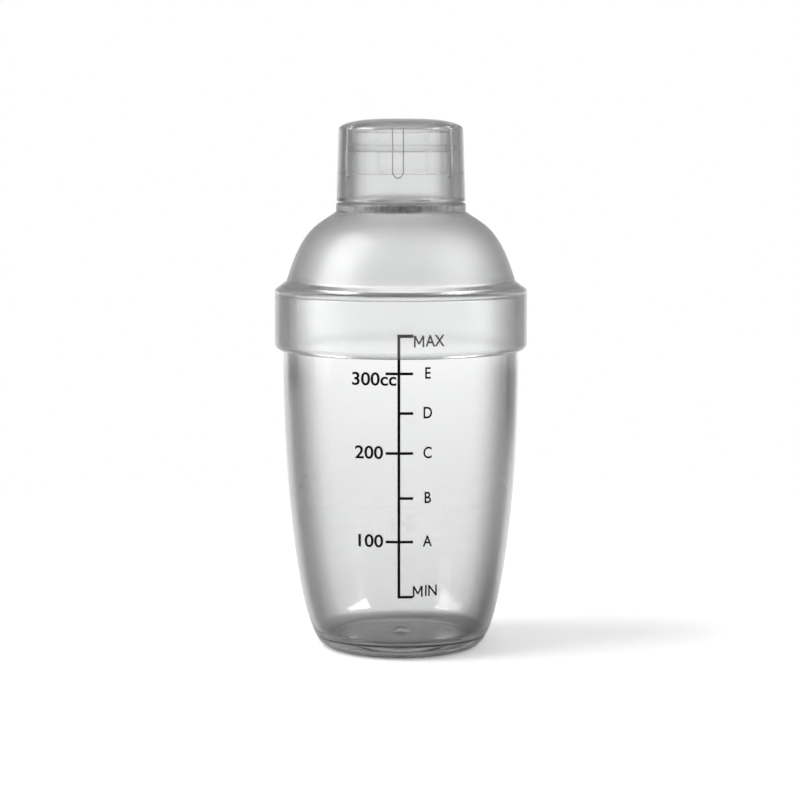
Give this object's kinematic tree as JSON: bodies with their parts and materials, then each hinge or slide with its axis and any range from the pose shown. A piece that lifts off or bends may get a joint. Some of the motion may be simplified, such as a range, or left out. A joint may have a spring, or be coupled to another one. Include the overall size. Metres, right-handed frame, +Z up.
{
  "type": "cocktail shaker",
  "caption": "Clear plastic cocktail shaker: a tapered measuring cup, a domed strainer lid that lifts off its rim, and a finger-grooved cap over the pouring neck.",
  "frame": {"origin": "centre of the foot ring, on the surface the cup stands on", "axes": "+Z up along the shaker's axis, -Y towards the printed measuring scale"},
  "size_m": [0.0818, 0.0818, 0.172],
  "materials": {
    "cup_plastic": "polished, clear with a faint smoke-grey tint",
    "lid_plastic": "polished, clear with a faint smoke-grey tint",
    "cap_plastic": "polished, clear with a faint smoke-grey tint",
    "gasket_silicone": "translucent silicone, satin",
    "ring_silicone": "translucent silicone, satin"
  },
  "bodies": {
    "cup": {"cup": "cup_plastic"},
    "lid": {"strainer_lid": "lid_plastic", "lid_gasket": "gasket_silicone", "neck_ring": "ring_silicone"},
    "cap": {"cap": "cap_plastic"}
  },
  "joints": [
    {"name": "lid_lift", "type": "slide", "parent": "cup", "child": "lid", "axis": [0, 0, 1], "range_m": [0, 0.045]},
    {"name": "cap_lift", "type": "slide", "parent": "lid", "child": "cap", "axis": [0, 0, 1], "range_m": [0, 0.035]}
  ]
}
